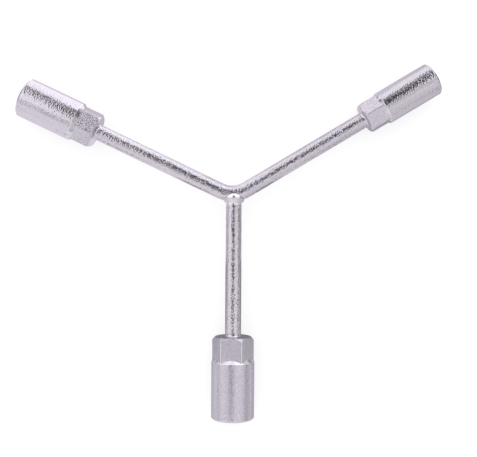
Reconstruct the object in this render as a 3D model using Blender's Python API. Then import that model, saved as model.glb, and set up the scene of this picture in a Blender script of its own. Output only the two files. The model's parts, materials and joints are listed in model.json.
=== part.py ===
"""Three-way socket wrench: two bars that meet in a Y, with a socket on each of the three ends.

One round bar is bent once and makes both arms. A straight bar, the leg, is saddled to the outside
of the bend and welded there, which leaves a double-coned collar. Each end holds a forged socket:
a hexagonal neck, bored for the bar, and a round body with a hexagonal recess for the nut. A bead
of weld closes each neck. Nothing on the wrench moves.

Metres, +Z up. The wrench lies flat, with its bars' axes in one level plane. +X is to the right,
and the leg points to -Y. The origin is on the bench, under the middle of the wrench's box.
"""
import math

import bmesh
import bpy
from mathutils import Matrix, Vector

# Bars. The bend radius is that of the centre line.
BAR_DIAMETER = 0.0096
BAR_END_CHAMFER = 0.0006
BEND_RADIUS = 0.017

# Directions of the three axes, turned from +X. The arms' axes and the leg's meet in the apex.
LEFT_ARM_ANGLE = math.radians(154.4)
RIGHT_ARM_ANGLE = math.radians(30.8)
LEG_ANGLE = math.radians(-90.35)

# From the apex to the mouth of the socket
ARM_REACH = 0.140
LEG_REACH = 0.1334

# The 14 mm socket, on the right arm
SMALL_NUT = 0.014
SMALL_WALL = 0.0019
SMALL_LENGTH = 0.0483
SMALL_NECK_LENGTH = 0.0130
SMALL_NECK_STEP = 0.00155
SMALL_ROLL = math.radians(22.7)

# The 17 mm socket, on the left arm
MEDIUM_NUT = 0.017
MEDIUM_WALL = 0.0021
MEDIUM_LENGTH = 0.0486
MEDIUM_NECK_LENGTH = 0.0138
MEDIUM_NECK_STEP = 0.00225
MEDIUM_ROLL = math.radians(13.5)

# The 19 mm socket, on the leg
LARGE_NUT = 0.019
LARGE_WALL = 0.0019
LARGE_LENGTH = 0.0495
LARGE_NECK_LENGTH = 0.0152
LARGE_NECK_STEP = 0.0020
LARGE_ROLL = math.radians(5.2)

# Inside every socket: the nut's recess, the plain bore behind it and its drilled floor
NUT_CLEARANCE = 0.0002
RECESS_DEPTH = 0.018
RECESS_LEAD_IN = 0.0004
BORE_DEPTH = 0.030
BORE_STEP = 0.0005
DRILL_HALF_ANGLE = math.radians(59)
BAR_STAND_OUT = 0.0012

# Outside every socket: the edge of the mouth, the cone behind the body and the chamfered back
MOUTH_CHAMFER = 0.0008
SHOULDER_ANGLE = math.radians(42)
BACK_CHAMFER = 0.0007
BACK_CHAMFER_ANGLE = math.radians(34)

# The collar where the bars meet, measured from the arm bar's surface on the leg's side
COLLAR_WALL = 0.0013
COLLAR_TOE_DROP = 0.0009
COLLAR_TOE_WALL = 0.0005
COLLAR_RIDGE_RISE = 0.0011
COLLAR_RIDGE_WIDTH = 0.0004
COLLAR_SADDLE = 0.0010
COLLAR_SHOULDER_RISE = 0.0039
COLLAR_SHOULDER_INSET = 0.00015
COLLAR_CROWN_RISE = 0.0047
COLLAR_CROWN_INSET = 0.0008

# The bead of weld round the bar at each neck
NECK_WELD_SIZE = 0.0010
NECK_WELD_EDGE = 0.0003

# Between pieces that touch on the real wrench
SEAT_GAP = 0.0003

# A tool reaches this far past what it cuts
OVERRUN = 0.002

# Mesh
TURN_STEPS = 72
BAR_SIDES = 32
BEND_STEPS = 14
WELD_DISTANCE = 0.00001
SHARP_ANGLE = math.radians(25)

UP = Vector((0, 0, 1))
HEX_SIDES = 6
HEX_CORNER_SHARE = 1 / math.cos(math.pi / HEX_SIDES)
BAR_RADIUS = BAR_DIAMETER / 2
BAR_BORE_RADIUS = BAR_RADIUS + SEAT_GAP


def heading(angle):
    """Unit vector in the wrench's plane."""
    return Vector((math.cos(angle), math.sin(angle), 0))


def new_part(name, bm):
    """Object from a finished bmesh, with its faces pointing out."""
    bmesh.ops.remove_doubles(bm, verts=bm.verts, dist=WELD_DISTANCE)
    bmesh.ops.recalc_face_normals(bm, faces=bm.faces)
    mesh = bpy.data.meshes.new(name)
    bm.to_mesh(mesh)
    bm.free()
    part = bpy.data.objects.new(name, mesh)
    bpy.context.scene.collection.objects.link(part)
    return part


def turned(name, profile, ring=False):
    """Solid turned about local Z from (height, radius) points; a ring's profile closes on itself.

    The profile starts half a step round, so that no corner of a hexagon meets a row of vertices.
    """
    bm = bmesh.new()
    start = math.pi / TURN_STEPS
    points = []
    for height, radius in profile:
        points.append(bm.verts.new((radius * math.cos(start), radius * math.sin(start), height)))
    pairs = list(zip(points, points[1:]))
    if ring:
        pairs.append((points[-1], points[0]))
    edges = [bm.edges.new(pair) for pair in pairs]
    bmesh.ops.spin(bm, geom=points + edges, axis=UP, cent=(0, 0, 0), angle=math.tau, steps=TURN_STEPS)
    return new_part(name, bm)


def hexagonal(name, across_flats, low, high):
    """Hexagonal prism about local Z, with a flat facing local X."""
    bm = bmesh.new()
    corner_radius = across_flats / 2 * HEX_CORNER_SHARE
    corners = []
    for side in range(HEX_SIDES):
        angle = math.tau * (side + 0.5) / HEX_SIDES
        place = (corner_radius * math.cos(angle), corner_radius * math.sin(angle), low)
        corners.append(bm.verts.new(place))
    face = bm.faces.new(corners)
    grown = bmesh.ops.extrude_face_region(bm, geom=[face])["geom"]
    raised = [item for item in grown if isinstance(item, bmesh.types.BMVert)]
    bmesh.ops.translate(bm, verts=raised, vec=(0, 0, high - low))
    return new_part(name, bm)


def swept(name, stations):
    """Round bar through (centre, direction, radius) stations that lie in the wrench's plane."""
    bm = bmesh.new()
    rings = []
    for centre, direction, radius in stations:
        side = direction.cross(UP)
        ring = []
        for step in range(BAR_SIDES):
            angle = math.tau * step / BAR_SIDES
            ring.append(bm.verts.new(centre + radius * (math.cos(angle) * side + math.sin(angle) * UP)))
        rings.append(ring)
    for ring, following in zip(rings, rings[1:]):
        for step in range(BAR_SIDES):
            beside = (step + 1) % BAR_SIDES
            bm.faces.new((ring[step], ring[beside], following[beside], following[step]))
    bm.faces.new(rings[0])
    bm.faces.new(rings[-1])
    return new_part(name, bm)


def combine(part, operation, tool):
    """Apply one Boolean with a tool that lies in the same place, then drop the tool."""
    modifier = part.modifiers.new(tool.name, "BOOLEAN")
    modifier.operation = operation
    modifier.solver = "EXACT"
    modifier.object = tool
    depsgraph = bpy.context.evaluated_depsgraph_get()
    result = bpy.data.meshes.new_from_object(part.evaluated_get(depsgraph))
    result.name = part.name
    used = (part.data, tool.data)
    part.modifiers.clear()
    part.data = result
    bpy.data.objects.remove(tool)
    for mesh in used:
        bpy.data.meshes.remove(mesh)
    return part


class Arm:
    """One end of the wrench: its direction, its socket's sizes and the heights along that socket.

    Heights are measured from the socket's back face towards its mouth.
    """

    def __init__(self, angle, reach, nut, wall, length, neck_length, neck_step, roll):
        self.direction = heading(angle)
        self.roll = roll
        self.length = length
        self.neck_length = neck_length
        self.recess_flats = nut + NUT_CLEARANCE
        self.recess_radius = self.recess_flats / 2 * HEX_CORNER_SHARE
        self.body_radius = self.recess_radius + wall
        self.neck_flats = 2 * (self.body_radius - neck_step)
        self.bore_radius = self.recess_flats / 2 - BORE_STEP
        self.back = reach - length
        self.bore_floor = length - BORE_DEPTH
        self.drill_floor = self.bore_floor - (self.bore_radius - BAR_BORE_RADIUS) / math.tan(DRILL_HALF_ANGLE)
        self.bar_end = self.back + self.drill_floor + BAR_STAND_OUT

    def placement(self):
        """Matrix that takes a socket from its own frame to its place on the wrench."""
        side = self.direction.cross(UP)
        turn = Matrix((UP, side, self.direction)).transposed().to_4x4()
        roll = Matrix.Rotation(self.roll, 4, "Z")
        return Matrix.Translation(self.back * self.direction) @ turn @ roll


def socket(name, arm):
    """Forged socket: a hexagonal neck with a chamfered back, a round body and a nut recess."""
    flat_radius = arm.neck_flats / 2
    corner_radius = flat_radius * HEX_CORNER_SHARE
    face_radius = flat_radius - BACK_CHAMFER
    chamfer_reach = corner_radius + OVERRUN
    chamfer_height = (chamfer_reach - face_radius) * math.tan(BACK_CHAMFER_ANGLE)
    neck = hexagonal(name, arm.neck_flats, 0, arm.neck_length + OVERRUN)
    chamfered_blank = turned("neck_blank", [
        (0, 0),
        (0, face_radius),
        (chamfer_height, chamfer_reach),
        (arm.length, chamfer_reach),
        (arm.length, 0),
    ])
    combine(neck, "INTERSECT", chamfered_blank)

    shoulder_root = flat_radius - OVERRUN
    shoulder_height = (arm.body_radius - shoulder_root) / math.tan(SHOULDER_ANGLE)
    body = turned("body", [
        (arm.neck_length - shoulder_height, 0),
        (arm.neck_length - shoulder_height, shoulder_root),
        (arm.neck_length, arm.body_radius),
        (arm.length - MOUTH_CHAMFER, arm.body_radius),
        (arm.length, arm.body_radius - MOUTH_CHAMFER),
        (arm.length, 0),
    ])
    combine(neck, "UNION", body)

    recess_floor = arm.length - RECESS_DEPTH
    recess = hexagonal("recess", arm.recess_flats, recess_floor, arm.length + OVERRUN)
    combine(neck, "DIFFERENCE", recess)

    mouth_radius = arm.recess_radius + RECESS_LEAD_IN
    bore = turned("bore", [
        (-OVERRUN, 0),
        (-OVERRUN, BAR_BORE_RADIUS),
        (arm.drill_floor, BAR_BORE_RADIUS),
        (arm.bore_floor, arm.bore_radius),
        (arm.length - mouth_radius + arm.bore_radius, arm.bore_radius),
        (arm.length + OVERRUN, mouth_radius + OVERRUN),
        (arm.length + OVERRUN, 0),
    ])
    combine(neck, "DIFFERENCE", bore)
    neck.matrix_world = arm.placement()
    return neck


def neck_weld(name, arm):
    """Bead of weld in the corner between the bar and the back of the neck, hollow like a fillet."""
    inner = BAR_BORE_RADIUS
    outer = inner + NECK_WELD_SIZE
    toe = inner + NECK_WELD_EDGE
    bead = turned(name, [
        (-SEAT_GAP, inner),
        (-SEAT_GAP, outer),
        (-SEAT_GAP - NECK_WELD_EDGE, outer),
        (-SEAT_GAP - NECK_WELD_SIZE / 2, (outer + toe) / 2 - NECK_WELD_EDGE / 2),
        (-SEAT_GAP - NECK_WELD_SIZE, toe),
        (-SEAT_GAP - NECK_WELD_SIZE, inner),
    ], ring=True)
    bead.matrix_world = arm.placement()
    return bead


def arm_route(left, right, radius, chamfer):
    """Stations of the bent bar, from the end in the left socket to the end in the right one."""
    turn = math.pi - left.direction.angle(right.direction)
    tangent = BEND_RADIUS * math.tan(turn / 2)
    centre = (left.direction + right.direction).normalized() * BEND_RADIUS / math.cos(turn / 2)
    to_start = left.direction * tangent - centre
    stations = [
        (left.direction * left.bar_end, -left.direction, radius - chamfer),
        (left.direction * (left.bar_end - BAR_END_CHAMFER), -left.direction, radius),
    ]
    for step in range(BEND_STEPS + 1):
        angle = turn * step / BEND_STEPS
        spin = Matrix.Rotation(angle, 3, "Z")
        stations.append((centre + spin @ to_start, spin @ -left.direction, radius))
    stations.append((right.direction * (right.bar_end - BAR_END_CHAMFER), right.direction, radius))
    stations.append((right.direction * right.bar_end, right.direction, radius - chamfer))
    return stations


def saddle_tool(left, right):
    """The bent bar, grown by the seat gap, to cut what seats on it."""
    return swept("saddle_tool", arm_route(left, right, BAR_BORE_RADIUS, 0))


def bend_height(left, right):
    """How far the bent bar's centre line passes from the apex, on the side away from the leg."""
    turn = math.pi - left.direction.angle(right.direction)
    return BEND_RADIUS * (1 / math.cos(turn / 2) - 1)


def leg_bar(left, right, leg):
    """Straight bar from the saddle under the bend to its end in the leg's socket."""
    top = -bend_height(left, right) * leg.direction
    shank_end = leg.bar_end - BAR_END_CHAMFER
    bar = swept("leg_bar", [
        (top, leg.direction, BAR_RADIUS),
        (leg.direction * shank_end, leg.direction, BAR_RADIUS),
        (leg.direction * leg.bar_end, leg.direction, BAR_RADIUS - BAR_END_CHAMFER),
    ])
    return combine(bar, "DIFFERENCE", saddle_tool(left, right))


def junction_collar(left, right, leg):
    """Double-coned ring of upset metal round the leg's top, which runs up both sides of the bend.

    Its ridge is pushed up with the arm bar's round, by the saddle's depth on the upper and lower side.
    """
    underside = BAR_RADIUS - bend_height(left, right)
    inner = BAR_BORE_RADIUS
    ridge = BAR_RADIUS + COLLAR_WALL
    ridge_height = underside - COLLAR_RIDGE_RISE
    collar = turned("junction_collar", [
        (underside + COLLAR_TOE_DROP, inner),
        (underside + COLLAR_TOE_DROP, BAR_RADIUS + COLLAR_TOE_WALL),
        (ridge_height + COLLAR_RIDGE_WIDTH / 2, ridge),
        (ridge_height - COLLAR_RIDGE_WIDTH / 2, ridge),
        (underside - COLLAR_SHOULDER_RISE, ridge - COLLAR_SHOULDER_INSET),
        (underside - COLLAR_CROWN_RISE, ridge - COLLAR_CROWN_INSET),
        (underside - COLLAR_CROWN_RISE, inner),
    ], ring=True)
    for vertex in collar.data.vertices:
        radius = vertex.co.xy.length
        if radius > ridge - WELD_DISTANCE:
            vertex.co.z -= COLLAR_SADDLE * (vertex.co.x / radius) ** 2
    side = leg.direction.cross(UP)
    collar.data.transform(Matrix((UP, side, leg.direction)).transposed().to_4x4())
    return combine(collar, "DIFFERENCE", saddle_tool(left, right))


def plating(name, colour, roughness):
    """Satin nickel-chrome plating."""
    material = bpy.data.materials.new(name)
    material.use_nodes = True
    shader = material.node_tree.nodes["Principled BSDF"]
    shader.inputs["Base Color"].default_value = colour
    shader.inputs["Metallic"].default_value = 1.0
    shader.inputs["Roughness"].default_value = roughness
    material.diffuse_color = colour
    return material


def finish(part, root, material):
    """Shade smooth between its sharp edges, give it its plating and hang it on the root."""
    part.data.shade_smooth()
    part.data.set_sharp_from_angle(angle=SHARP_ANGLE)
    part.data.materials.clear()
    part.data.materials.append(material)
    part.parent = root


def lay_on_bench(root, parts):
    """Move the root so that the bench is at height zero, with the origin under the box's middle."""
    bpy.context.view_layer.update()
    points = [part.matrix_world @ vertex.co for part in parts for vertex in part.data.vertices]
    low = Vector(min(point[axis] for point in points) for axis in range(3))
    high = Vector(max(point[axis] for point in points) for axis in range(3))
    middle = (low + high) / 2
    root.location = (-middle.x, -middle.y, -low.z)
    bpy.context.view_layer.update()


def build():
    for thing in list(bpy.data.objects):
        bpy.data.objects.remove(thing)

    right = Arm(RIGHT_ARM_ANGLE, ARM_REACH, SMALL_NUT, SMALL_WALL,
                SMALL_LENGTH, SMALL_NECK_LENGTH, SMALL_NECK_STEP, SMALL_ROLL)
    left = Arm(LEFT_ARM_ANGLE, ARM_REACH, MEDIUM_NUT, MEDIUM_WALL,
               MEDIUM_LENGTH, MEDIUM_NECK_LENGTH, MEDIUM_NECK_STEP, MEDIUM_ROLL)
    leg = Arm(LEG_ANGLE, LEG_REACH, LARGE_NUT, LARGE_WALL,
              LARGE_LENGTH, LARGE_NECK_LENGTH, LARGE_NECK_STEP, LARGE_ROLL)

    bars = [
        swept("arm_bar", arm_route(left, right, BAR_RADIUS, BAR_END_CHAMFER)),
        leg_bar(left, right, leg),
    ]
    sockets = [
        socket("socket_14mm", right),
        socket("socket_17mm", left),
        socket("socket_19mm", leg),
    ]
    welds = [
        junction_collar(left, right, leg),
        neck_weld("neck_weld_14mm", right),
        neck_weld("neck_weld_17mm", left),
        neck_weld("neck_weld_19mm", leg),
    ]

    root = bpy.data.objects.new("wrench", None)
    bpy.context.scene.collection.objects.link(root)
    finishes = (
        (bars, "bar_plating", (0.78, 0.76, 0.80, 1), 0.24),
        (sockets, "socket_plating", (0.76, 0.74, 0.78, 1), 0.30),
        (welds, "weld_plating", (0.77, 0.75, 0.79, 1), 0.26),
    )
    for parts, slot, colour, roughness in finishes:
        for part in parts:
            finish(part, root, plating(f"{part.name}_{slot}", colour, roughness))
    lay_on_bench(root, bars + sockets + welds)


build()
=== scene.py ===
"""The look of the three-way socket wrench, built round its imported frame.

Bars, sockets and welds are modelled again with the small roundings that forging, turning and plating
leave, and finished in satin chrome. Metres, +Z up, in the frame's own place: the wrench lies flat, its
leg points to -Y, and the camera looks straight down at it, as in the photograph.
"""
import json
import math

import bpy
import numpy as np
from mathutils import Matrix, Vector
from mathutils.geometry import intersect_line_line


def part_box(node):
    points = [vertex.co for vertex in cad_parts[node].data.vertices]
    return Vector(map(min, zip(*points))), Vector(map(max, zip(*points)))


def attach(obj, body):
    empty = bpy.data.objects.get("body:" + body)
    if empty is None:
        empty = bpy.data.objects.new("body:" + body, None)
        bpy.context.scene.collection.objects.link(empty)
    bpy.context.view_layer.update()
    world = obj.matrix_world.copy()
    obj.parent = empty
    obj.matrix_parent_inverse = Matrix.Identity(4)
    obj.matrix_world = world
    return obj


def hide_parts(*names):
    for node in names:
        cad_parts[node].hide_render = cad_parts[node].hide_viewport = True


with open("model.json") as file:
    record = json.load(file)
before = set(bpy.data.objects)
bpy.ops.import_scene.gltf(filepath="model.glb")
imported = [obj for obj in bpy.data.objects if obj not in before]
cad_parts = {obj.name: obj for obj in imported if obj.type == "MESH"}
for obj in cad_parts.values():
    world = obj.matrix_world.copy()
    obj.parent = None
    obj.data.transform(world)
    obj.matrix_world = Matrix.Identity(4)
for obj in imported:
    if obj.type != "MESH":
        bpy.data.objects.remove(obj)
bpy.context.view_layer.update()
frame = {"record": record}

BODY = "root"

# Bars, and how far the leg's bar stands into the bent one
BAR_RADIUS = 0.0048
BAR_END_CHAMFER = 0.0006
BEND_RADIUS = 0.017
BAR_SIDES = 96
BEND_STEPS = 40
SADDLE_DEPTH = 0.0012

# Sockets: size of the nut, wall, lengths from the back face, depth of the neck's flats below the body,
# the hexagon's turn about the socket's own axis, how bright the neck's corners and the shoulder are
# rubbed, and the finish
SOCKETS = {
    "14mm": dict(nut=0.014, wall=0.0019, length=0.0483, neck_length=0.0130, neck_step=0.00155,
                 roll=math.radians(22.7), shine=0.5, finish="socket_chrome"),
    "17mm": dict(nut=0.017, wall=0.0021, length=0.0486, neck_length=0.0138, neck_step=0.00225,
                 roll=math.radians(13.5), shine=0.5, finish="socket_chrome"),
    "19mm": dict(nut=0.019, wall=0.0019, length=0.0495, neck_length=0.0152, neck_step=0.0020,
                 roll=math.radians(5.2), shine=0.75, finish="matte_socket_chrome"),
}
NUT_CLEARANCE = 0.0002
RECESS_DEPTH = 0.018
LEAD_IN = 0.0004
BORE_DEPTH = 0.030
BORE_STEP = 0.0005
DRILL_HALF_ANGLE = math.radians(59)
BAR_STAND_OUT = 0.0012
CAD_SEAT_GAP = 0.0003
MOUTH_CHAMFER = 0.0008
SHOULDER_ANGLE = math.radians(42)
BACK_CHAMFER = 0.0003
BACK_CHAMFER_ANGLE = math.radians(47)

# How far each edge of a socket is rounded
FLAT_EDGE = 0.0006
BACK_EDGE = 0.0009
CHAMFER_EDGE = 0.0002
SHOULDER_EDGE = 0.00015
RIM_EDGE = 0.00022
MOUTH_EDGE = 0.00018
# How far to each side of its corners the neck is rubbed, and how far its blank stands out past them
CORNER_SHINE = 0.00035
CORNER_MARGIN = 0.0010

# Welds, and how far they and the holes in the sockets sink into the bars
BEAD_LENGTH = 0.0019
BEAD_HEIGHT = 0.0007
BEAD_SHINE = 0.5
SINK = 0.00006

# The collar: one outline for its two sides and one for its top and bottom, where the saddle pushes the
# metal up. Each corner has its distance from the bars' meeting point towards the leg, its radius and
# its fillet
COLLAR_SIDE = (
    (0.0036, 0.00495, 0),
    (0.0027, 0.00590, 0.0009),
    (0.0013, 0.00635, 0.0003),
    (0.0007, 0.00615, 0.0002),
    (-0.0004, 0.00530, 0.0003),
    (-0.0010, 0.00490, 0),
)
COLLAR_TOP = (
    (0.0036, 0.00495, 0),
    (0.0017, 0.00588, 0.0009),
    (0.0006, 0.00626, 0.0001),
    (-0.0004, 0.00596, 0.0006),
    (-0.0013, 0.00545, 0.0008),
    (-0.0020, 0.00490, 0),
)
# Where round the collar its top's outline begins and is full, as the squared cosine from the top
CROWN_STARTS = 0.12
CROWN_FULL = 0.60
# How far the collar runs on down the leg's bar as a thin skirt, how bright the skirt and the crown are,
# and the share of the way up from the toe over which that ends
COLLAR_SKIRT = 0.0014
COLLAR_SHINE = 0.9
TOE_STEP = 0.05

# Polish: how smooth the metal is at a point. The orange peel is finer where it is as forged
AS_FORGED = -0.5
AS_PLATED = 0.0
TURNED = 0.5
RUBBED = 1.0
FORGED_FINER = 0.8

# Finishes: the plating's colour on the tops of the orange peel's waves and in their hollows, how rough
# it is as plated and where it is turned, the depth of the peel, the scales of its waves and of its
# grain, and the grain's share of its height
CHROME = (0.655, 0.62, 0.69, 1)
DULL_CHROME = (0.605, 0.57, 0.64, 1)
FINISHES = {
    "bar_chrome": dict(colour=CHROME, dull_colour=DULL_CHROME, roughness=0.15, turned_roughness=0.10,
                       peel_depth=0.00028, wave_scale=1050, grain_scale=2600, grain_share=0.15),
    "socket_chrome": dict(colour=CHROME, dull_colour=DULL_CHROME, roughness=0.15, turned_roughness=0.10,
                          peel_depth=0.00012, wave_scale=1050, grain_scale=2600, grain_share=0.15),
    "matte_socket_chrome": dict(colour=(0.66, 0.625, 0.70, 1), dull_colour=(0.535, 0.51, 0.575, 1),
                                roughness=0.34, turned_roughness=0.24, peel_depth=0.00013,
                                wave_scale=1250, grain_scale=3200, grain_share=0.2),
    "weld_chrome": dict(colour=(0.77, 0.725, 0.795, 1), dull_colour=(0.73, 0.69, 0.76, 1), roughness=0.38,
                        turned_roughness=0.08, peel_depth=0.00002, wave_scale=800, grain_scale=2600,
                        grain_share=0.2),
}
POLISHED_COLOUR = (0.90, 0.88, 0.93, 1)
GRAZING_COLOUR = (0.88, 0.84, 0.92, 1)
# Heights of the waves over which the colour changes, and heights of the grain over which the roughness
# goes from one share of the finish's own to the other
WAVE_TINTS = (0.3, 0.7)
GRAIN_GLOSSES = (0.2, 0.8)
GLOSS_SHARES = (0.8, 1.25)
GRAIN_DETAIL = 2.0
GRAIN_ROUGHNESS = 0.6
PEEL_TURNED_OFF = 0.85

# Nicks: how close their cells lie, their size and the share of the cells that hold one, then how ragged
# and how soft their edges are. The size, the raggedness and the edge are shares of a cell
NICK_SPACING_SCALE = 260.0
NICK_SIZE = 0.07
NICK_SHARE = 0.06
RAGGED_SCALE = 2400.0
RAGGED_DETAIL = 1.0
RAGGED_DEPTH = 0.08
NICK_EDGE = (0.02, 0.06)
NICK_COLOUR = (0.20, 0.19, 0.21, 1)
NICK_ROUGHNESS = 0.5

# Mesh. A socket's facets are drawn towards the corners of its hexagons by the corner pull
HEX_SIDES = 6
SECTOR = math.tau / HEX_SIDES
FACETS = 240
CORNER_PULL = 0.7
RING_FACETS = 128
STRAIGHT_PARTS = 12
ARC_STEPS = 5
FINE_STEP = 0.00013
COARSE_STEP = 0.003
SHARP_ANGLE = math.radians(32)
MERGE_DISTANCE = 1e-6
UP = Vector((0, 0, 1))

# Camera, from the photograph: its width and centre in pixels, the pixel that the bars' axes meet in, how
# far off the camera stands in pixels, and the real size of a pixel at the wrench
PHOTO_WIDTH = 477
PHOTO_CENTRE = (238.0, 228.0)
APEX_PIXEL = (233.36, 196.73)
PIXELS_OFF = 770
PIXEL_SIZE = 0.000604
CAMERA_DISTANCE = PIXELS_OFF * PIXEL_SIZE
SENSOR_WIDTH = 36
CLIP_RATIO = 100

# Tones of the light and of the floor. Each adds its amount where all its steps are full. A step names
# what it runs along, and has the places where it starts and where it is full. A step of three numbers
# is a stretch: its two ends, and half the width of their soft edges.
# Light from round about, by degrees from straight up: to the east, to the north, or to either side
SKY_COLOUR = (1.0, 0.985, 1.0, 1)
SKY_TONES = {
    "all round": (1.0,),
    "north": (0.22, ("north", -34, 4)),
    "bright north east": (0.45, ("east", 6, 22), ("north", 45, 80)),
    "dull south east": (-0.17, ("east", 12, 28), ("north", -6, -20)),
    "dull north west": (-0.36, ("east", -20, -45), ("north", 60, 92)),
}
# Share of that light that the walls keep off
EAST_WALL = ("east", 52, 80)
WALL_LENGTH = ("north", -38, 52, 12)
WALL_TONES = {
    "east wall": (0.34, EAST_WALL, WALL_LENGTH),
    "east wall, to the north": (0.46, EAST_WALL, ("north", -20, -6), WALL_LENGTH),
    "west wall": (0.72, ("east", -65, -90), WALL_LENGTH),
    "both walls, to the south": (0.35, ("aside", 54, 68), ("north", -60, -30, 8)),
}
# Straight up nothing of a direction lies level, and the degrees are divided by this instead
LEAST_LEVEL = 0.001

# Floor, and its tones, which only the metal mirrors; by the arms, the sockets and the leg some of them
# are painted shade, where the wrench's shadow falls. They run to the east, to the north or off the leg to
# either side, or north of lines through the scene's middle along each arm, which fall so much for their
# run to the east
FLOOR_SIZE = 40
FLOOR_COLOUR = (0.42, 0.42, 0.42, 1)
FLOOR_GLOW = 0.64
MIRRORED_FLOOR_COLOUR = (0.08, 0.08, 0.08, 1)
LEFT_ARM_FALL = 0.48
RIGHT_ARM_FALL = -0.60
ASIDE = (("off_leg", 0.090, 0.145, 0.006), ("north", -0.060, 0.022, 0.005))
FLOOR_TONES = {
    "all over": (0.84,),
    "west": (0.10, ("east", 0.04, -0.04)),
    "east": (-0.12, ("east", 0.08, 0.11)),
    "past the left arm": (0.44, ("above_left", 0.054, 0.062), ("east", 0.01, -0.02)),
    # Painted shade: the floor darkened beside the left arm and its socket, where their shadow falls
    "painted shade beside the left arm": (-0.24, ("above_left", 0.032, 0.056, 0.005), ("east", -0.01, -0.03)),
    "past the right arm": (-0.22, ("above_right", 0.045, 0.065), ("east", 0.0, 0.075, 0.015)),
    # Painted shade: the floor darkened along and under the right arm and its socket, where their shadow
    # falls
    "painted shade along the right arm": (-0.04, ("above_right", -0.004, 0.030, 0.006), ("east", 0.02, 0.04)),
    "painted shade along the right socket": (-0.28, ("above_right", 0.002, 0.030, 0.003), ("east", 0.055, 0.065)),
    "far north east": (0.45, ("north", 0.15, 0.22), ("east", -0.06, 0.06)),
    "aside": (-0.55, *ASIDE),
    "aside, to the north": (-0.37, *ASIDE, ("north", -0.06, -0.02)),
    "past the arms' mouths": (-0.75, ("off_leg", 0.170, 0.185), ("north", 0.02, 0.05)),
}
# Painted shade: two dark stretches beside and under the leg, for the wrench's shadow, and how dark they are
OUTER_PAINTED_SHADE = (("off_leg", 0.026, 0.045, 0.003), ("north", 0.027, 0.021))
INNER_PAINTED_SHADE = (("off_leg", 0.028, 0.018), ("north", -0.008, -0.016))
PAINTED_SHADE_TONES = {
    "all along": (0.306,),
    "north of the mouth": (0.374, ("north", -0.09, -0.04)),
    "by the collar": (0.08, ("north", -0.010, 0.014)),
}
DARKEST_TONE = 0.02

# Cards over the floor that the metal mirrors: a row for each crease, with its place to the north, its
# height, and its west and east edges
DARK_CARD = (
    (-0.260, 0.465, -0.135, 0.005),
    (-0.090, 0.465, -0.145, 0.005),
    (-0.060, 0.465, -0.165, 0.025),
    (-0.030, 0.465, -0.185, 0.190),
    (0.060, 0.465, -0.170, 0.210),
    (0.230, 0.465, -0.155, 0.215),
    (0.430, 0.640, -0.155, 0.220),
    (0.600, 0.753, -0.185, 0.190),
    (0.710, 0.753, -0.160, 0.150),
    (0.850, 0.753, -0.135, 0.135),
    (1.240, 0.753, -0.115, 0.125),
    (1.950, 0.753, -0.160, 0.095),
)
WEST_CARD = (
    (-0.280, 0.465, -0.500, -0.360),
    (-0.140, 0.465, -0.460, -0.270),
    (0.000, 0.465, -0.360, -0.240),
)
WEST_TONE = 0.66
EAST_CARD = (
    (-0.020, 0.465, 0.200, 0.440),
    (0.130, 0.465, 0.215, 0.420),
)
EAST_TONE = 0.7

# The dark card's lit patches: their scale, the tones outside and inside them, how soft their edges are,
# how high the noise has to be for one at the middle, how much higher it has to be for each metre to the
# north and how far that goes on, and the stretch where they dim to the south, with the share left there
PATCH_SCALE = 6.0
PATCH_TONES = (0.03, 0.55)
PATCH_EDGE = 0.02
PATCH_LEVEL = 0.455
PATCH_LEVEL_RISE = 0.36
PATCH_RISE_END = 0.5
PATCH_DIM = (-0.16, -0.08)
PATCH_DIM_SHARE = 0.12


def deselect():
    """Nothing selected, so that the next operator acts on its own piece."""
    bpy.ops.object.select_all(action="DESELECT")


def select_only(piece):
    """One piece selected and active, for the next operator to act on."""
    deselect()
    piece.select_set(True)
    bpy.context.view_layer.objects.active = piece


def settle(piece, name):
    """Name a piece and put its place into its mesh."""
    select_only(piece)
    bpy.ops.object.transform_apply(location=True, rotation=True, scale=True)
    piece.name = name
    piece.data.name = name
    return piece


def smooth(piece):
    """Shade smooth between the edges that stay sharp."""
    select_only(piece)
    bpy.ops.object.shade_smooth_by_angle(angle=SHARP_ANGLE)


def filleted(corners):
    """Outline through (height, radius, fillet) corners, with an arc in place of each filleted one."""
    points = []
    places = [Vector(corner[:2]) for corner in corners]
    for index, corner in enumerate(corners):
        here = places[index]
        fillet = corner[2]
        if not fillet:
            points.append(tuple(here))
            continue
        back = (places[index - 1] - here).normalized()
        on = (places[(index + 1) % len(places)] - here).normalized()
        half = back.angle(on) / 2
        centre = here + (back + on).normalized() * fillet / math.sin(half)
        start = here + back * fillet / math.tan(half) - centre
        end = here + on * fillet / math.tan(half) - centre
        sweep = start.angle(end)
        for step in range(ARC_STEPS + 1):
            part = sweep * step / ARC_STEPS
            arm = (start * math.sin(sweep - part) + end * math.sin(part)) / math.sin(sweep)
            points.append(tuple(centre + arm))
    return points


def spread(low, high, step):
    """Evenly spaced values from low to high."""
    return list(np.linspace(low, high, max(2, math.ceil((high - low) / step) + 1)))


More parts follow.
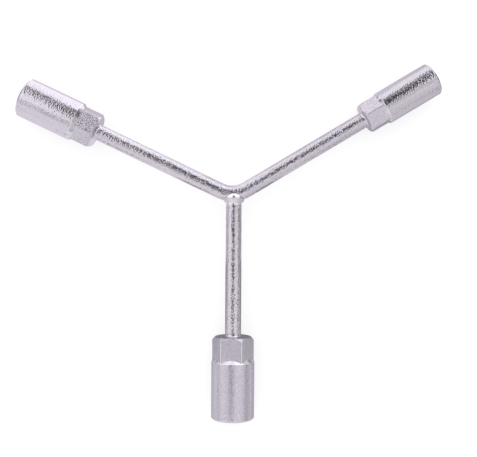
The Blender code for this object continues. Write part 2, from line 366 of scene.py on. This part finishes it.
def turned(name, outline, facets, **stretches):
    """Closed outline of (height, radius) points, spun a full turn about Z.

    Each stretch of the outline gets a vertex group, by which its rings are found again.
    """
    deselect()
    bpy.ops.mesh.primitive_circle_add(vertices=len(outline))
    piece = bpy.context.object
    for vertex, (height, radius) in zip(piece.data.vertices, outline):
        vertex.co = (radius, 0, height)
    for title, places in stretches.items():
        piece.vertex_groups.new(name=title).add(list(places), 1, "REPLACE")
    bpy.ops.object.mode_set(mode="EDIT")
    bpy.ops.mesh.select_all(action="SELECT")
    bpy.ops.mesh.spin(steps=facets, angle=math.tau, center=(0, 0, 0), axis=UP)
    bpy.ops.mesh.select_all(action="SELECT")
    bpy.ops.mesh.remove_doubles(threshold=MERGE_DISTANCE)
    bpy.ops.mesh.normals_make_consistent(inside=False)
    bpy.ops.object.mode_set(mode="OBJECT")
    return settle(piece, name)


def points_of(piece):
    """A piece's points as one array."""
    points = np.empty(len(piece.data.vertices) * 3, dtype=np.float32)
    piece.data.vertices.foreach_get("co", points)
    return points.reshape(-1, 3).astype(float)


def place_points(piece, points):
    """Give a piece its points back."""
    piece.data.vertices.foreach_set("co", points.astype(np.float32).ravel())
    piece.data.update()


def give_polish(piece, values):
    """Say how smooth the metal is at each point, from AS_FORGED to RUBBED."""
    polish = piece.data.attributes.new("polish", "FLOAT", "POINT")
    polish.data.foreach_set("value", values.astype(np.float32))


def stretch_of(piece, title):
    """Which of a turned piece's points belong to one stretch of its outline."""
    index = piece.vertex_groups[title].index
    return np.array([any(g.group == index for g in v.groups) for v in piece.data.vertices])


def press(points, chosen, radius):
    """Move the chosen points of a turned piece in or out to a radius."""
    angles = np.arctan2(points[chosen, 1], points[chosen, 0])
    points[chosen, 0] = radius * np.cos(angles)
    points[chosen, 1] = radius * np.sin(angles)


def soft_min(first, second, width):
    """The smaller of two radii, rounded over this width where they cross."""
    share = np.clip(0.5 + 0.5 * (second - first) / width, 0, 1)
    return second * (1 - share) + first * share - width * share * (1 - share)


def soft_max(first, second, width):
    """The larger of two radii, rounded over this width where they cross."""
    return -soft_min(-first, -second, width)


def off_flats(angles):
    """How far each angle is from the middle of its flat, on a hexagon with a flat at angle zero."""
    return np.abs((angles + SECTOR / 2) % SECTOR - SECTOR / 2)


def hexagon(angles, across_flats, edge):
    """Radius of a hexagon with a flat at angle zero, its corners rounded to this radius."""
    off_flat = off_flats(angles)
    flat = across_flats / 2 / np.cos(off_flat)
    if not edge:
        return flat
    reach = (across_flats / 2 - edge) / math.cos(SECTOR / 2)
    off_corner = SECTOR / 2 - off_flat
    inside = np.maximum(edge ** 2 - (reach * np.sin(off_corner)) ** 2, 0)
    arc = reach * np.cos(off_corner) + np.sqrt(inside)
    tangent = math.atan2(reach * math.sin(SECTOR / 2), across_flats / 2)
    return np.where(off_flat > tangent, arc, flat)


def upright(direction):
    """Turn that takes +Z to a level direction, and +X upwards."""
    return Matrix((UP, direction.cross(UP), direction)).transposed().to_4x4()


class Socket:
    """One socket's sizes and its place, which comes from its mouth in the frame's record."""

    def __init__(self, size, nut, wall, length, neck_length, neck_step, roll, shine, finish):
        mount = next(m for m in frame["record"]["mounts"] if m["name"] == f"mouth_{size}")
        self.direction = Vector(mount["axis"])
        self.mouth = Vector((mount["pos_m"][0], mount["pos_m"][1], AXIS_HEIGHT))
        self.back = self.mouth - self.direction * length
        self.roll = roll
        self.shine = shine
        self.finish = finish
        self.length = length
        self.neck_length = neck_length
        self.recess_flats = nut + NUT_CLEARANCE
        self.recess_radius = self.recess_flats / 2 / math.cos(math.pi / HEX_SIDES)
        self.body_radius = self.recess_radius + wall
        self.neck_flats = 2 * (self.body_radius - neck_step)
        self.neck_radius = self.neck_flats / 2 / math.cos(math.pi / HEX_SIDES)
        self.bore_radius = self.recess_flats / 2 - BORE_STEP
        self.bore_floor = length - BORE_DEPTH
        bar_bore = BAR_RADIUS + CAD_SEAT_GAP
        self.drill_floor = self.bore_floor - (self.bore_radius - bar_bore) / math.tan(DRILL_HALF_ANGLE)
        self.bar_end = self.drill_floor + BAR_STAND_OUT

    def placement(self):
        """What takes a piece out of the socket's own frame, where +Z runs from its back to its mouth."""
        roll = Matrix.Rotation(self.roll, 4, "Z")
        return Matrix.Translation(self.back) @ upright(self.direction) @ roll

    def skin(self):
        """Outline of the outside, from the back face to the mouth's face, with a round neck."""
        self.face_radius = self.neck_flats / 2 - BACK_CHAMFER
        blank_radius = self.neck_radius + CORNER_MARGIN
        blank_height = (blank_radius - self.face_radius) * math.tan(BACK_CHAMFER_ANGLE)
        self.blank = filleted([
            (0, self.face_radius - BACK_EDGE * 2, 0),
            (0, self.face_radius, BACK_EDGE),
            (blank_height, blank_radius, 0),
            (self.length, blank_radius, 0),
        ])[1:]
        root_radius = self.neck_flats / 2 - SHOULDER_EDGE * 4
        self.root_height = self.neck_length - (self.body_radius - root_radius) / math.tan(SHOULDER_ANGLE)
        self.body = filleted([
            (self.root_height, root_radius, 0),
            (self.neck_length, self.body_radius, RIM_EDGE),
            (self.length - MOUTH_CHAMFER, self.body_radius, MOUTH_EDGE),
            (self.length, self.body_radius - MOUTH_CHAMFER, 0),
        ])
        heights = {point[0] for point in self.blank[:-2]}
        heights.update(spread(self.blank[-3][0], blank_height, FINE_STEP))
        heights.update(spread(blank_height, self.root_height, COARSE_STEP))
        heights.update(spread(self.root_height, self.body[1][0], FINE_STEP))
        outline = [(0, self.face_radius - BACK_EDGE * 2)]
        outline += [(height, self.neck_flats / 2) for height in sorted(heights)]
        barrel = [point for point in self.body if point[0] > self.body[1][0]]
        start, end = self.body[ARC_STEPS + 1][0] + FINE_STEP, self.body[ARC_STEPS + 2][0] - FINE_STEP
        steps = spread(start, end, COARSE_STEP)
        barrel[ARC_STEPS:ARC_STEPS] = [(height, self.body_radius) for height in steps]
        return outline, barrel

    def bore(self):
        """Outline of the inside, from the mouth's face to the hole for the bar, with a round recess."""
        recess_floor = self.length - RECESS_DEPTH
        mouth_radius = self.recess_radius + LEAD_IN
        lead_end = self.length - (mouth_radius - self.recess_flats / 2)
        hole = BAR_RADIUS - SINK
        heights = spread(recess_floor, lead_end, COARSE_STEP) + spread(lead_end, self.length, FINE_STEP)[1:]
        recess = [(height, self.recess_flats / 2) for height in reversed(heights)]
        heights = spread(recess_floor, self.bore_floor, COARSE_STEP)
        drilled = [(height, self.bore_radius) for height in heights]
        drilled += [(self.drill_floor, hole + CAD_SEAT_GAP), (self.drill_floor, hole), (0, hole)]
        return recess, drilled

    def neck_shape(self, heights, angles):
        """Radius of the neck: a hexagon cut back by the cone behind it and running out on the shoulder."""
        flats = hexagon(angles, self.neck_flats, FLAT_EDGE)
        neck = soft_min(np.interp(heights, *zip(*self.blank)), flats, CHAMFER_EDGE)
        shoulder = np.interp(heights, *zip(*self.body))
        return np.where(heights < self.root_height, neck, soft_max(neck, shoulder, SHOULDER_EDGE))

    def polish(self, heights, radii, angles):
        """Polish of the socket's points: its edges and turned faces have more than its forged flats."""
        off_corner = SECTOR / 2 - off_flats(angles)
        outside = radii > self.neck_flats / 2 - BACK_CHAMFER * 2
        on_neck = outside & (heights < self.neck_length)
        flats = hexagon(angles, self.neck_flats, FLAT_EDGE)
        corner = on_neck & (off_corner * self.neck_radius < CORNER_SHINE)
        back = on_neck & (np.interp(heights, *zip(*self.blank)) < flats)
        shoulder = on_neck & (heights > self.root_height) & (np.interp(heights, *zip(*self.body)) > flats)
        rim = outside & (np.abs(heights - self.neck_length) < RIM_EDGE / 2)
        mouth = outside & (heights > self.length - MOUTH_CHAMFER - MOUTH_EDGE / 2)
        mouth_edge = mouth & (heights < self.length - MOUTH_CHAMFER + MOUTH_EDGE)
        values = np.where(on_neck, AS_FORGED, AS_PLATED)
        values = np.where(mouth, TURNED, values)
        values = np.where(back, TURNED / 2, values)
        values = np.where(corner | shoulder, self.shine, values)
        return np.where(rim | mouth_edge, RUBBED, values)

    def recess_shape(self, heights, angles):
        """Radius of the nut recess: a hexagon with a cone leading in."""
        lead = self.recess_radius + LEAD_IN - (self.length - heights)
        return np.maximum(hexagon(angles, self.recess_flats, 0), lead)


def forged_socket(size, socket):
    """The socket turned in one closed skin, then its neck and recess pressed to their hexagons."""
    neck, barrel = socket.skin()
    recess, drilled = socket.bore()
    outline = neck + barrel + recess + drilled
    recess_start = len(neck) + len(barrel)
    piece = turned(f"forged_socket_{size}", outline, FACETS, neck=range(1, len(neck)),
                   recess=range(recess_start, recess_start + len(recess)))
    points = points_of(piece)
    angles = np.arctan2(points[:, 1], points[:, 0])
    pulled = angles + CORNER_PULL * np.sin(HEX_SIDES * angles) / HEX_SIDES
    radii = np.hypot(points[:, 0], points[:, 1])
    points[:, 0] = radii * np.cos(pulled)
    points[:, 1] = radii * np.sin(pulled)
    chosen = stretch_of(piece, "neck")
    press(points, chosen, socket.neck_shape(points[chosen, 2], pulled[chosen]))
    chosen = stretch_of(piece, "recess")
    press(points, chosen, socket.recess_shape(points[chosen, 2], pulled[chosen]))
    place_points(piece, points)
    give_polish(piece, socket.polish(points[:, 2], radii, pulled))
    piece.data.transform(socket.placement())
    smooth(piece)
    return piece


def neck_bead(size, socket):
    """Bead of weld in the corner between bar and neck, hollow like a fillet."""
    inner = BAR_RADIUS - SINK
    outline = [(SINK, inner)]
    for step in range(ARC_STEPS * 2 + 1):
        share = step / (ARC_STEPS * 2)
        radius = inner + BEAD_HEIGHT * (1 - share) ** 3 + SINK * 2 * (1 - share)
        outline.append((SINK - BEAD_LENGTH * share, radius))
    piece = turned(f"neck_bead_{size}", outline, RING_FACETS)
    give_polish(piece, np.full(len(piece.data.vertices), BEAD_SHINE))
    piece.data.transform(socket.placement())
    smooth(piece)
    return piece


def ring_of_bar(place, direction):
    """Circle primitive across a bar's axis, open in edit mode for the operators that draw it out."""
    deselect()
    turn = direction.to_track_quat("Z", "Y").to_euler()
    bpy.ops.mesh.primitive_circle_add(vertices=BAR_SIDES, radius=BAR_RADIUS, location=place, rotation=turn)
    piece = settle(bpy.context.object, "bar")
    bpy.ops.object.mode_set(mode="EDIT")
    bpy.ops.mesh.select_all(action="SELECT")
    return piece


def draw_out(length, direction):
    """Extrude the selected end of a bar by one length."""
    bpy.ops.mesh.extrude_region_move(TRANSFORM_OT_translate={"value": direction * length})


def end_chamfer(direction):
    """Extrude the selected end of a bar, smaller by its chamfer, and close it."""
    draw_out(BAR_END_CHAMFER, direction)
    share = 1 - BAR_END_CHAMFER / BAR_RADIUS
    bpy.ops.transform.resize(value=(share, share, share))
    bpy.ops.mesh.edge_face_add()


def select_end(piece, place, direction):
    """Select the ring of a bar that lies across its axis at a place."""
    bpy.ops.mesh.select_all(action="DESELECT")
    bpy.ops.object.mode_set(mode="OBJECT")
    for vertex in piece.data.vertices:
        vertex.select = abs((vertex.co - place).dot(direction)) < SINK
    bpy.ops.object.mode_set(mode="EDIT")


def finish_bar(piece, name):
    """Close a bar's editing: faces out, shaded smooth."""
    bpy.ops.mesh.select_all(action="SELECT")
    bpy.ops.mesh.normals_make_consistent(inside=False)
    bpy.ops.object.mode_set(mode="OBJECT")
    settle(piece, name)
    smooth(piece)
    return piece


def bent_bar(left, right):
    """Both arms in one bar: drawn out along the left arm, spun through the bend, and on to the right."""
    turn = math.pi - left.direction.angle(right.direction)
    tangent = BEND_RADIUS * math.tan(turn / 2)
    middle = (left.direction + right.direction).normalized()
    centre = APEX + middle * BEND_RADIUS / math.cos(turn / 2)
    left_end = left.back + left.direction * (left.bar_end - BAR_END_CHAMFER)
    right_end = right.back + right.direction * (right.bar_end - BAR_END_CHAMFER)
    left_run = (left_end - APEX).length - tangent
    right_run = (right_end - APEX).length - tangent
    piece = ring_of_bar(left_end, -left.direction)
    for step in range(STRAIGHT_PARTS):
        draw_out(left_run / STRAIGHT_PARTS, -left.direction)
    bpy.ops.mesh.spin(steps=BEND_STEPS, angle=-turn, center=centre, axis=UP)
    for step in range(STRAIGHT_PARTS):
        draw_out(right_run / STRAIGHT_PARTS, right.direction)
    end_chamfer(right.direction)
    select_end(piece, left_end, left.direction)
    end_chamfer(left.direction)
    return finish_bar(piece, "bent_arm_bar")


def straight_bar(leg):
    """The leg's bar, from just inside the bent bar to its end in the socket."""
    start = APEX + leg.direction * (UNDERSIDE - SADDLE_DEPTH)
    end = leg.back + leg.direction * (leg.bar_end - BAR_END_CHAMFER)
    piece = ring_of_bar(start, leg.direction)
    bpy.ops.mesh.edge_face_add()
    select_end(piece, start, leg.direction)
    for step in range(STRAIGHT_PARTS):
        draw_out((end - start).length / STRAIGHT_PARTS, leg.direction)
    end_chamfer(leg.direction)
    return finish_bar(piece, "straight_leg_bar")


def collar_outline(corners):
    """Outline of the collar, closed by its skirt on the leg's bar, with one more point by its toe."""
    inner = BAR_RADIUS - SINK
    toe, crown_end = corners[0][0], corners[-1][0]
    skirt = [(crown_end, inner, 0), (toe + COLLAR_SKIRT, inner, 0)]
    outline = filleted(skirt + list(corners))
    toe_point, next_point = Vector(outline[2]), Vector(outline[3])
    outline.insert(3, tuple(toe_point.lerp(next_point, TOE_STEP)))
    return np.array(outline)


def collar_polish():
    """Polish along the collar's outline: bright on its skirt, satin on its band, bright on its crown."""
    skirt = [TURNED, COLLAR_SHINE, COLLAR_SHINE, AS_PLATED]
    satin_band = [AS_PLATED] * 2 * (ARC_STEPS + 1)
    crown = [COLLAR_SHINE] * (2 * (ARC_STEPS + 1) + 1)
    return np.array(skirt + satin_band + crown)


def weld_collar(leg):
    """Double-coned ring of upset metal, its ridge pushed up at the top and bottom by the saddle."""
    side_outline = collar_outline(COLLAR_SIDE)
    top_outline = collar_outline(COLLAR_TOP)
    piece = turned("saddle_collar", [tuple(point) for point in side_outline], RING_FACETS)
    points = points_of(piece)
    radii = np.hypot(points[:, 0], points[:, 1])
    places = np.stack((points[:, 2], radii), axis=1)
    nearest = np.argmin(np.linalg.norm(places[:, None] - side_outline[None], axis=2), axis=1)
    share = np.clip(((points[:, 0] / radii) ** 2 - CROWN_STARTS) / (CROWN_FULL - CROWN_STARTS), 0, 1)
    share = share ** 2 * (3 - 2 * share)
    moved = side_outline[nearest] * (1 - share[:, None]) + top_outline[nearest] * share[:, None]
    points[:, :2] *= (moved[:, 1] / radii)[:, None]
    points[:, 2] = moved[:, 0]
    place_points(piece, points)
    give_polish(piece, collar_polish()[nearest])
    piece.data.transform(Matrix.Translation(APEX) @ upright(leg.direction))
    smooth(piece)
    return piece


# Where the bars lie, from the frame
arm_low, arm_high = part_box("arm_bar")
AXIS_HEIGHT = (arm_low.z + arm_high.z) / 2
sockets = {size: Socket(size, **sizes) for size, sizes in SOCKETS.items()}
left, right, leg = sockets["17mm"], sockets["14mm"], sockets["19mm"]
APEX = intersect_line_line(left.mouth, left.back, right.mouth, right.back)[0]
HALF_TURN = (math.pi - left.direction.angle(right.direction)) / 2
UNDERSIDE = BAR_RADIUS - BEND_RADIUS * (1 / math.cos(HALF_TURN) - 1)


# Node trees

def put(tree, kind, **settings):
    """Add a node and set its own settings."""
    node = tree.nodes.new(kind)
    for name, value in settings.items():
        setattr(node, name, value)
    return node


def feed(tree, socket, value):
    """Give an input a number, a colour or another node's output."""
    if isinstance(value, bpy.types.NodeSocket):
        tree.links.new(value, socket)
    else:
        socket.default_value = value


def maths(tree, operation, *values):
    """Output of a Math node."""
    node = put(tree, "ShaderNodeMath", operation=operation)
    for socket, value in zip(node.inputs, values):
        feed(tree, socket, value)
    return node.outputs[0]


def ramp(tree, value, low, high, from_value=0.0, to_value=1.0):
    """Smooth step between two values of another output."""
    node = put(tree, "ShaderNodeMapRange", interpolation_type="SMOOTHSTEP")
    feed(tree, node.inputs["Value"], value)
    feed(tree, node.inputs["From Min"], low)
    feed(tree, node.inputs["From Max"], high)
    feed(tree, node.inputs["To Min"], from_value)
    feed(tree, node.inputs["To Max"], to_value)
    return node.outputs["Result"]


def band(tree, value, low, high, soft):
    """One inside a range and zero outside it, with soft ends."""
    rise = ramp(tree, value, low - soft, low + soft)
    fall = ramp(tree, value, high - soft, high + soft, 1.0, 0.0)
    return maths(tree, "MULTIPLY", rise, fall)


def share_of(tree, places, steps):
    """How full a point's steps are, multiplied together."""
    share = 1.0
    for along, *edges in steps:
        shape = ramp if len(edges) == 2 else band
        share = maths(tree, "MULTIPLY", share, shape(tree, places[along], *edges))
    return share


def sum_tones(tree, places, tones):
    """Sum of the tones at a point, each by how full its steps are."""
    total = 0.0
    for amount, *steps in tones.values():
        total = maths(tree, "MULTIPLY_ADD", share_of(tree, places, steps), amount, total)
    return total


def blend(tree, share, first, second):
    """Mix two colours."""
    node = put(tree, "ShaderNodeMix", data_type="RGBA")
    feed(tree, node.inputs["Factor"], share)
    feed(tree, node.inputs[6], first)
    feed(tree, node.inputs[7], second)
    return node.outputs[2]


def noise(tree, place, scale, detail=0.0, roughness=0.5):
    """Noise of this scale, from zero to one."""
    node = put(tree, "ShaderNodeTexNoise")
    feed(tree, node.inputs["Vector"], place)
    feed(tree, node.inputs["Scale"], scale)
    feed(tree, node.inputs["Detail"], detail)
    feed(tree, node.inputs["Roughness"], roughness)
    return node.outputs["Fac"]


def group(name, inputs, outputs):
    """Empty node group with named float inputs and outputs."""
    tree = bpy.data.node_groups.new(name, "ShaderNodeTree")
    for title in inputs:
        tree.interface.new_socket(title, in_out="INPUT", socket_type="NodeSocketFloat")
    for title in outputs:
        tree.interface.new_socket(title, in_out="OUTPUT", socket_type="NodeSocketFloat")
    return tree, put(tree, "NodeGroupInput"), put(tree, "NodeGroupOutput")


def use_group(tree, effect, values):
    """Place a group in a material, with the material's own values."""
    node = put(tree, "ShaderNodeGroup", node_tree=effect)
    for title, value in values.items():
        feed(tree, node.inputs[title], value)
    return node.outputs


def peel_group():
    """Orange peel under the plating: a coarse wave with fine grain on it.

    Outputs the height of both together, the wave alone and the grain alone.
    """
    tree, given, out = group("plating_peel", ("Wave Scale", "Grain Scale", "Grain Share"),
                             ("Height", "Wave", "Grain"))
    place = put(tree, "ShaderNodeTexCoord").outputs["Object"]
    wave = noise(tree, place, given.outputs["Wave Scale"])
    grain = noise(tree, place, given.outputs["Grain Scale"], GRAIN_DETAIL, GRAIN_ROUGHNESS)
    height = maths(tree, "MULTIPLY_ADD", grain, given.outputs["Grain Share"], wave)
    feed(tree, out.inputs["Height"], height)
    feed(tree, out.inputs["Wave"], wave)
    feed(tree, out.inputs["Grain"], grain)
    return tree


def nick_group():
    """Small nicks scattered over the plating: a share of its cells hold one each."""
    tree, given, out = group("plating_nicks", ("Spacing Scale", "Size", "Share"), ("Nick",))
    place = put(tree, "ShaderNodeTexCoord").outputs["Object"]
    cells = put(tree, "ShaderNodeTexVoronoi", feature="F1")
    feed(tree, cells.inputs["Vector"], place)
    feed(tree, cells.inputs["Scale"], given.outputs["Spacing Scale"])
    ragged = maths(tree, "MULTIPLY", noise(tree, place, RAGGED_SCALE, RAGGED_DETAIL), RAGGED_DEPTH)
    distance = maths(tree, "ADD", cells.outputs["Distance"], ragged)
    near = ramp(tree, maths(tree, "SUBTRACT", distance, given.outputs["Size"]), *NICK_EDGE, 1.0, 0.0)
    draw = put(tree, "ShaderNodeSeparateXYZ")
    feed(tree, draw.inputs[0], cells.outputs["Color"])
    chosen = maths(tree, "LESS_THAN", draw.outputs[0], given.outputs["Share"])
    feed(tree, out.inputs["Nick"], maths(tree, "MULTIPLY", near, chosen))
    return tree


def plated(name, peel, nicked, colour, dull_colour, roughness, turned_roughness, peel_depth, wave_scale,
           grain_scale, grain_share):
    """Satin chrome plating over a surface with orange peel, brighter and smoother where it is polished.

    Seen at a grazing angle it keeps a lavender tint.
    """
    material = bpy.data.materials.new(name)
    material.use_nodes = True
    tree = material.node_tree
    shader = tree.nodes["Principled BSDF"]
    shader.inputs["Metallic"].default_value = 1.0
    shader.inputs["Specular Tint"].default_value = GRAZING_COLOUR
    polish = put(tree, "ShaderNodeAttribute", attribute_name="polish").outputs["Fac"]
    polished = ramp(tree, polish, TURNED, RUBBED)
    turned_share = maths(tree, "MINIMUM", maths(tree, "DIVIDE", polish, TURNED), 1.0)
    forged = maths(tree, "LESS_THAN", polish, AS_FORGED / 2)
    scale = maths(tree, "MULTIPLY_ADD", forged, wave_scale * FORGED_FINER, wave_scale)
    surface = use_group(tree, peel, {
        "Wave Scale": scale,
        "Grain Scale": grain_scale,
        "Grain Share": grain_share,
    })
    nick = use_group(tree, nicked, {
        "Spacing Scale": NICK_SPACING_SCALE,
        "Size": NICK_SIZE,
        "Share": NICK_SHARE,
    })["Nick"]
    plate = blend(tree, ramp(tree, surface["Wave"], *WAVE_TINTS), dull_colour, colour)
    plate = blend(tree, polished, plate, POLISHED_COLOUR)
    feed(tree, shader.inputs["Base Color"], blend(tree, nick, plate, NICK_COLOUR))
    glosses = [roughness * share for share in GLOSS_SHARES]
    gloss = ramp(tree, surface["Grain"], *GRAIN_GLOSSES, *glosses)
    gloss = ramp(tree, turned_share, 0.0, 1.0, gloss, turned_roughness)
    gloss = maths(tree, "MAXIMUM", gloss, maths(tree, "MULTIPLY", nick, NICK_ROUGHNESS))
    feed(tree, shader.inputs["Roughness"], gloss)
    bump = put(tree, "ShaderNodeBump")
    bump.inputs["Strength"].default_value = 1.0
    bump.inputs["Distance"].default_value = peel_depth
    left_on = maths(tree, "SUBTRACT", 1.0, maths(tree, "MULTIPLY", turned_share, PEEL_TURNED_OFF))
    height = maths(tree, "SUBTRACT", maths(tree, "MULTIPLY", surface["Height"], left_on), nick)
    feed(tree, bump.inputs["Height"], height)
    feed(tree, shader.inputs["Normal"], bump.outputs["Normal"])
    return material


def studio(scene):
    """Soft light from all round: brightest to the north east, with dark walls to the east and west.

    To the south the walls go on paler. The camera sees it all white.
    """
    world = bpy.data.worlds.new("studio")
    scene.world = world
    world.use_nodes = True
    tree = world.node_tree
    direction = put(tree, "ShaderNodeTexCoord").outputs["Generated"]
    parts = put(tree, "ShaderNodeSeparateXYZ")
    feed(tree, parts.inputs[0], direction)
    across, along, up = parts.outputs
    level = maths(tree, "SQRT", maths(tree, "SUBTRACT", 1.0, maths(tree, "MULTIPLY", up, up)))
    degrees = maths(tree, "MULTIPLY", maths(tree, "ARCCOSINE", up), math.degrees(1))
    degrees = maths(tree, "DIVIDE", degrees, maths(tree, "MAXIMUM", level, LEAST_LEVEL))
    east = maths(tree, "MULTIPLY", across, degrees)
    north = maths(tree, "MULTIPLY", along, degrees)
    places = {"east": east, "north": north, "aside": maths(tree, "ABSOLUTE", east)}
    past_walls = maths(tree, "SUBTRACT", 1.0, sum_tones(tree, places, WALL_TONES))
    light = maths(tree, "MULTIPLY", sum_tones(tree, places, SKY_TONES), past_walls)
    seen = put(tree, "ShaderNodeLightPath").outputs["Is Camera Ray"]
    light = maths(tree, "MULTIPLY_ADD", maths(tree, "SUBTRACT", 1.0, seen), light, seen)
    background = tree.nodes["Background"]
    background.inputs["Color"].default_value = SKY_COLOUR
    feed(tree, background.inputs["Strength"], light)


def only_in_metal(card):
    """A card that the metal mirrors, but that neither shows nor shades anything."""
    card.visible_camera = False
    card.visible_diffuse = False
    card.visible_transmission = False
    card.visible_shadow = False


def glow(name):
    """Material that gives off light of its own and mirrors none."""
    material = bpy.data.materials.new(name)
    material.use_nodes = True
    shader = material.node_tree.nodes["Principled BSDF"]
    shader.inputs["Base Color"].default_value = (0, 0, 0, 1)
    shader.inputs["Roughness"].default_value = 1.0
    shader.inputs["Specular IOR Level"].default_value = 0.0
    shader.inputs["Emission Color"].default_value = (1, 1, 1, 1)
    return material


def patchy(name):
    """Dark room over the bench, with lit patches: fewer of them to the north, and dim to the south."""
    material = glow(name)
    tree = material.node_tree
    place = put(tree, "ShaderNodeTexCoord").outputs["Object"]
    parts = put(tree, "ShaderNodeSeparateXYZ")
    feed(tree, parts.inputs[0], place)
    north = parts.outputs[1]
    rise = maths(tree, "MINIMUM", north, PATCH_RISE_END)
    level = maths(tree, "MULTIPLY_ADD", rise, PATCH_LEVEL_RISE, PATCH_LEVEL)
    over = maths(tree, "SUBTRACT", noise(tree, place, PATCH_SCALE), level)
    light = ramp(tree, over, -PATCH_EDGE, PATCH_EDGE, *PATCH_TONES)
    light = maths(tree, "MULTIPLY", light, ramp(tree, north, *PATCH_DIM, PATCH_DIM_SHARE, 1.0))
    feed(tree, tree.nodes["Principled BSDF"].inputs["Emission Strength"], light)
    return material


def plain(name, tone):
    """Card of one tone."""
    material = glow(name)
    material.node_tree.nodes["Principled BSDF"].inputs["Emission Strength"].default_value = tone
    return material


def card(name, rows, material):
    """Card over the bench, made of rows."""
    deselect()
    bpy.ops.mesh.primitive_grid_add(x_subdivisions=1, y_subdivisions=len(rows) - 1, size=1)
    piece = bpy.context.object
    for index, (north, height, west, east) in enumerate(rows):
        for vertex, across in zip(piece.data.vertices[2 * index:2 * index + 2], (west, east)):
            vertex.co = (across, north, height)
    settle(piece, name)
    piece.data.materials.append(material)
    only_in_metal(piece)


def floor_tone(tree):
    """Tone that the metal mirrors from a place on the floor, with painted shade by the leg, the arms and
    the sockets.
    """
    parts = put(tree, "ShaderNodeSeparateXYZ")
    feed(tree, parts.inputs[0], put(tree, "ShaderNodeTexCoord").outputs["Object"])
    east, north = parts.outputs[:2]
    places = {
        "east": east,
        "north": north,
        "off_leg": maths(tree, "ABSOLUTE", east),
        "above_left": maths(tree, "MULTIPLY_ADD", east, LEFT_ARM_FALL, north),
        "above_right": maths(tree, "MULTIPLY_ADD", east, RIGHT_ARM_FALL, north),
    }
    outer = share_of(tree, places, OUTER_PAINTED_SHADE)
    inner = share_of(tree, places, INNER_PAINTED_SHADE)
    dark = sum_tones(tree, places, PAINTED_SHADE_TONES)
    # Painted shade: the mirrored tone is darkened beside and under the leg, where the wrench's shadow falls
    painted_shade_by_leg = maths(tree, "MULTIPLY", maths(tree, "MAXIMUM", outer, inner), dark)
    tone = maths(tree, "SUBTRACT", sum_tones(tree, places, FLOOR_TONES), painted_shade_by_leg)
    return maths(tree, "MAXIMUM", tone, DARKEST_TONE)


def bench():
    """Pale floor under the wrench: white to the camera, with tones to the metal that hold painted shade by
    the wrench, and a soft shadow.
    """
    deselect()
    bpy.ops.mesh.primitive_plane_add(size=FLOOR_SIZE)
    floor = settle(bpy.context.object, "pale_floor")
    material = bpy.data.materials.new("pale_floor")
    material.use_nodes = True
    tree = material.node_tree
    shader = tree.nodes["Principled BSDF"]
    shader.inputs["Roughness"].default_value = 1.0
    shader.inputs["Specular IOR Level"].default_value = 0.0
    shader.inputs["Emission Color"].default_value = (1, 1, 1, 1)
    path = put(tree, "ShaderNodeLightPath")
    mirrored = maths(tree, "MAXIMUM", path.outputs["Is Glossy Ray"], path.outputs["Is Transmission Ray"])
    feed(tree, shader.inputs["Base Color"], blend(tree, mirrored, FLOOR_COLOUR, MIRRORED_FLOOR_COLOUR))
    light = maths(tree, "MULTIPLY", path.outputs["Is Camera Ray"], FLOOR_GLOW)
    light = maths(tree, "MULTIPLY_ADD", mirrored, floor_tone(tree), light)
    feed(tree, shader.inputs["Emission Strength"], light)
    floor.data.materials.append(material)


def look_down(scene):
    """Camera straight above the wrench, at the photograph's place and scale."""
    data = bpy.data.cameras.new("camera")
    camera = bpy.data.objects.new("camera", data)
    scene.collection.objects.link(camera)
    offset = Vector((PHOTO_CENTRE[0] - APEX_PIXEL[0], APEX_PIXEL[1] - PHOTO_CENTRE[1], 0)) * PIXEL_SIZE
    camera.location = APEX + offset + UP * CAMERA_DISTANCE
    data.sensor_width = SENSOR_WIDTH
    data.lens = SENSOR_WIDTH * CAMERA_DISTANCE / (PHOTO_WIDTH * PIXEL_SIZE)
    data.clip_start = CAMERA_DISTANCE / CLIP_RATIO
    data.clip_end = CAMERA_DISTANCE * CLIP_RATIO
    scene.camera = camera


def dress(piece, material, slot, *nodes):
    """Plate a piece, hang it on the wrench's one body and let it stand for its CAD nodes."""
    piece.data.materials.clear()
    piece.data.materials.append(material)
    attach(piece, BODY)
    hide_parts(*nodes)


scene = bpy.context.scene
scene.view_settings.view_transform = "Standard"
peel = peel_group()
nicked = nick_group()
plates = {name: plated(name, peel, nicked, **finish) for name, finish in FINISHES.items()}

dress(bent_bar(left, right), plates["bar_chrome"], "bar_plating", "arm_bar")
dress(straight_bar(leg), plates["bar_chrome"], "bar_plating", "leg_bar")
dress(weld_collar(leg), plates["weld_chrome"], "weld_plating", "junction_collar")
for size, socket in sockets.items():
    dress(forged_socket(size, socket), plates[socket.finish], "socket_plating", f"socket_{size}")
    dress(neck_bead(size, socket), plates["bar_chrome"], "weld_plating", f"neck_weld_{size}")

studio(scene)
card("dark_card", DARK_CARD, patchy("dark_card"))
card("west_card", WEST_CARD, plain("west_card", WEST_TONE))
card("east_card", EAST_CARD, plain("east_card", EAST_TONE))
bench()
look_down(scene)
